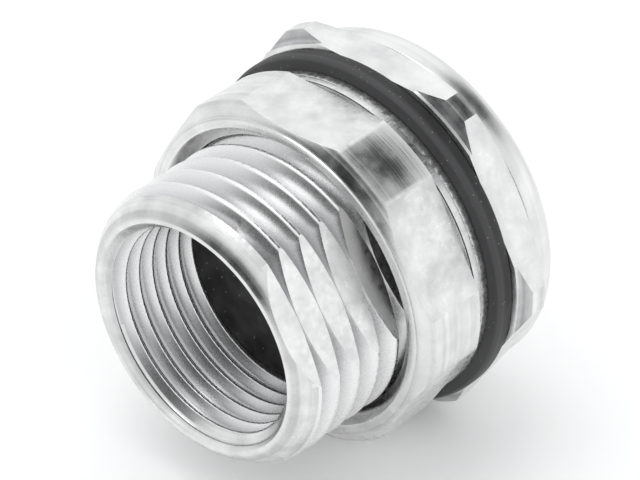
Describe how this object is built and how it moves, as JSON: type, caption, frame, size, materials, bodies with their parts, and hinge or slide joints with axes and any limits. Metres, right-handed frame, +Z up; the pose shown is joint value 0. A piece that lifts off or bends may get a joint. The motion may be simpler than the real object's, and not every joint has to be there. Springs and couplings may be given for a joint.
{
  "type": "cable gland",
  "caption": "Metal panel gland: threaded stub with a flat and an inner port thread, locknut, toothed washer, gasket, hexagonal head and domed cap.",
  "frame": {"origin": "on the gland's axis, in the plane where the gasket meets the outside of the panel", "axes": "+Y along the axis towards the domed cap, -Y towards the threaded stub's mouth, +Z up, square to a flat of the head"},
  "size_m": [0.0222, 0.0189, 0.0206],
  "materials": {
    "body_plate": "bright nickel plate",
    "nut_plate": "bright nickel plate, lightly scratched",
    "cap_plate": "bright nickel plate",
    "washer_steel": "plated spring steel, pressed teeth",
    "gasket_rubber": "matt black nitrile",
    "insert_rubber": "matt black rubber",
    "cage_plastic": "moulded polyamide",
    "slip_plastic": "smooth polyamide"
  },
  "bodies": {
    "gland": {"gland_body": "body_plate", "panel_gasket": "gasket_rubber", "sealing_insert": "insert_rubber", "clamp_cage": "cage_plastic"},
    "washer": {"lock_washer": "washer_steel"},
    "nut": {"locknut": "nut_plate"},
    "slip": {"slip_ring": "slip_plastic"},
    "cap": {"dome_cap": "cap_plate"}
  },
  "joints": [
    {"name": "washer_slide", "type": "slide", "parent": "gland", "child": "washer", "axis": [0, -1, 0], "range_m": [0, 0.00601]},
    {"name": "nut_turn", "type": "hinge", "parent": "washer", "child": "nut", "pos_m": [0, 0, 0], "axis": [0, -1, 0], "range_deg": [0, 1440]},
    {"name": "slip_slide", "type": "slide", "parent": "gland", "child": "slip", "axis": [0, 1, 0], "range_m": [0, 0.00101]},
    {"name": "cap_turn", "type": "hinge", "parent": "slip", "child": "cap", "pos_m": [0, 0, 0], "axis": [0, 1, 0], "range_deg": [0, 360]}
  ],
  "couplings": [
    {"joint": "washer_slide", "follows": "nut_turn", "m_per_rad": 0.00023873},
    {"joint": "slip_slide", "follows": "cap_turn", "m_per_rad": 0.00015915}
  ]
}
